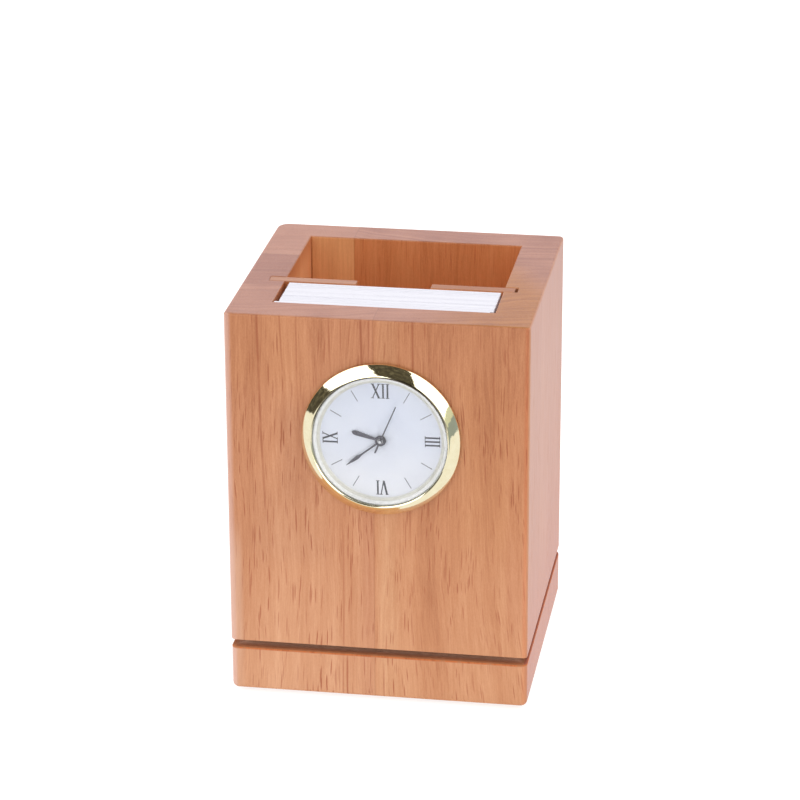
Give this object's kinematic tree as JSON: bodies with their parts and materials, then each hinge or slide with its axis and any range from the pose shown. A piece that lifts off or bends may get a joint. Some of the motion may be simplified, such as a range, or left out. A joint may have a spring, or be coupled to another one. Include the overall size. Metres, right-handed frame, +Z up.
{
  "type": "desk organizer with clock",
  "caption": "Square wooden pen well and memo slot with a round gold-rimmed clock in its front, turning on a wooden base block.",
  "frame": {"origin": "centre of the felt pad's underside, on the swivel axis", "axes": "+Z up along the swivel axis, +X to the right seen from the front, the clock looks along -Y"},
  "size_m": [0.095, 0.0946, 0.1288],
  "materials": {
    "wood": "satin clear lacquer over light reddish-brown hardwood",
    "gold": "mirror polished, pale gold plated",
    "ring_metal": "polished, pale champagne",
    "lens_glass": "clear, bevelled edge",
    "dial_white": "satin white with dark printed numerals",
    "hand_metal": "dark grey semi-gloss",
    "steel": "zinc plated",
    "brass": "plain",
    "black_plastic": "moulded",
    "ivory_plastic": "moulded",
    "green_board": "solder resist",
    "copper": "enamelled wire",
    "paper": "uncoated white, cut edges",
    "felt": "pressed felt"
  },
  "bodies": {
    "base": {"rest_pad": "felt", "base_block": "wood", "base_screw_1": "steel", "base_screw_2": "steel", "base_screw_3": "steel", "base_screw_4": "steel", "swivel_lower_plate": "steel", "swivel_eyelet": "steel"},
    "cage": {"ball_cage": "brass", "ball_1": "steel", "ball_2": "steel", "ball_3": "steel", "ball_4": "steel", "ball_5": "steel", "ball_6": "steel", "ball_7": "steel", "ball_8": "steel"},
    "housing": {"front_board": "wood", "back_board": "wood", "left_board": "wood", "right_board": "wood", "floor_board": "wood", "divider": "wood", "swivel_upper_plate": "steel", "plate_screw_1": "steel", "plate_screw_2": "steel", "plate_screw_3": "steel", "plate_screw_4": "steel"},
    "memo": {"memo_stack": "paper"},
    "clock": {"clock_bezel": "gold", "clock_lens": "lens_glass", "inner_ring": "ring_metal", "dial": "dial_white", "clock_case": "black_plastic", "retaining_ring": "black_plastic", "movement_ring": "ivory_plastic", "movement_plate": "ivory_plastic", "movement_cover": "ivory_plastic", "circuit_board": "green_board", "quartz_crystal": "steel", "timing_chip": "black_plastic", "coil": "copper", "stator": "steel", "button_cell": "steel", "cell_contact": "brass", "cell_hatch": "black_plastic"},
    "second_train": {"second_wheel": "ivory_plastic", "second_hand": "hand_metal"},
    "third_train": {"third_wheel": "ivory_plastic"},
    "minute_train": {"centre_wheel": "brass", "cannon_pinion": "steel", "minute_hand": "hand_metal"},
    "motion_train": {"minute_wheel": "brass"},
    "hour_train": {"hour_wheel": "brass", "hour_hand": "hand_metal"},
    "setter": {"set_knob": "black_plastic"},
    "fifth_train": {"fifth_wheel": "ivory_plastic"},
    "motor": {"rotor": "black_plastic"}
  },
  "joints": [
    {"name": "housing_swivel", "type": "hinge", "parent": "base", "child": "housing", "pos_m": [0, 0, 0.01725], "axis": [0, 0, 1], "continuous": true},
    {"name": "cage_swivel", "type": "hinge", "parent": "base", "child": "cage", "pos_m": [0, 0, 0.01725], "axis": [0, 0, 1], "continuous": true},
    {"name": "memo_lift", "type": "slide", "parent": "housing", "child": "memo", "axis": [0, 0, 1], "range_m": [0, 0.102]},
    {"name": "clock_pull", "type": "slide", "parent": "housing", "child": "clock", "axis": [0, -1, 0], "range_m": [0, 0.03]},
    {"name": "second_hand_turn", "type": "hinge", "parent": "clock", "child": "second_train", "pos_m": [0.00156, -0.0452, 0.09025], "axis": [0, 1, 0], "continuous": true},
    {"name": "third_wheel_turn", "type": "hinge", "parent": "clock", "child": "third_train", "pos_m": [0.00759, -0.0452, 0.09131], "axis": [0, 1, 0], "continuous": true},
    {"name": "minute_hand_turn", "type": "hinge", "parent": "clock", "child": "minute_train", "pos_m": [0.00156, -0.0452, 0.09025], "axis": [0, 1, 0], "continuous": true},
    {"name": "minute_wheel_turn", "type": "hinge", "parent": "clock", "child": "motion_train", "pos_m": [0.00465, -0.0452, 0.08657], "axis": [0, 1, 0], "continuous": true},
    {"name": "hour_hand_turn", "type": "hinge", "parent": "clock", "child": "hour_train", "pos_m": [0.00156, -0.0452, 0.09025], "axis": [0, 1, 0], "continuous": true},
    {"name": "set_knob_turn", "type": "hinge", "parent": "clock", "child": "setter", "pos_m": [0.00916, -0.0452, 0.08493], "axis": [0, 1, 0], "continuous": true},
    {"name": "fifth_wheel_turn", "type": "hinge", "parent": "clock", "child": "fifth_train", "pos_m": [-0.00226, -0.0452, 0.09481], "axis": [0, 1, 0], "continuous": true},
    {"name": "rotor_turn", "type": "hinge", "parent": "clock", "child": "motor", "pos_m": [-0.00686, -0.0452, 0.09604], "axis": [0, 1, 0], "continuous": true}
  ],
  "couplings": [
    {"joint": "cage_swivel", "follows": "housing_swivel", "ratio": 0.5},
    {"joint": "third_wheel_turn", "follows": "second_hand_turn", "ratio": -0.13333},
    {"joint": "minute_hand_turn", "follows": "second_hand_turn", "ratio": 0.016667},
    {"joint": "minute_wheel_turn", "follows": "second_hand_turn", "ratio": -0.0055556},
    {"joint": "hour_hand_turn", "follows": "second_hand_turn", "ratio": 0.0013889},
    {"joint": "set_knob_turn", "follows": "second_hand_turn", "ratio": 0.016667},
    {"joint": "fifth_wheel_turn", "follows": "second_hand_turn", "ratio": -4},
    {"joint": "rotor_turn", "follows": "second_hand_turn", "ratio": 30}
  ]
}
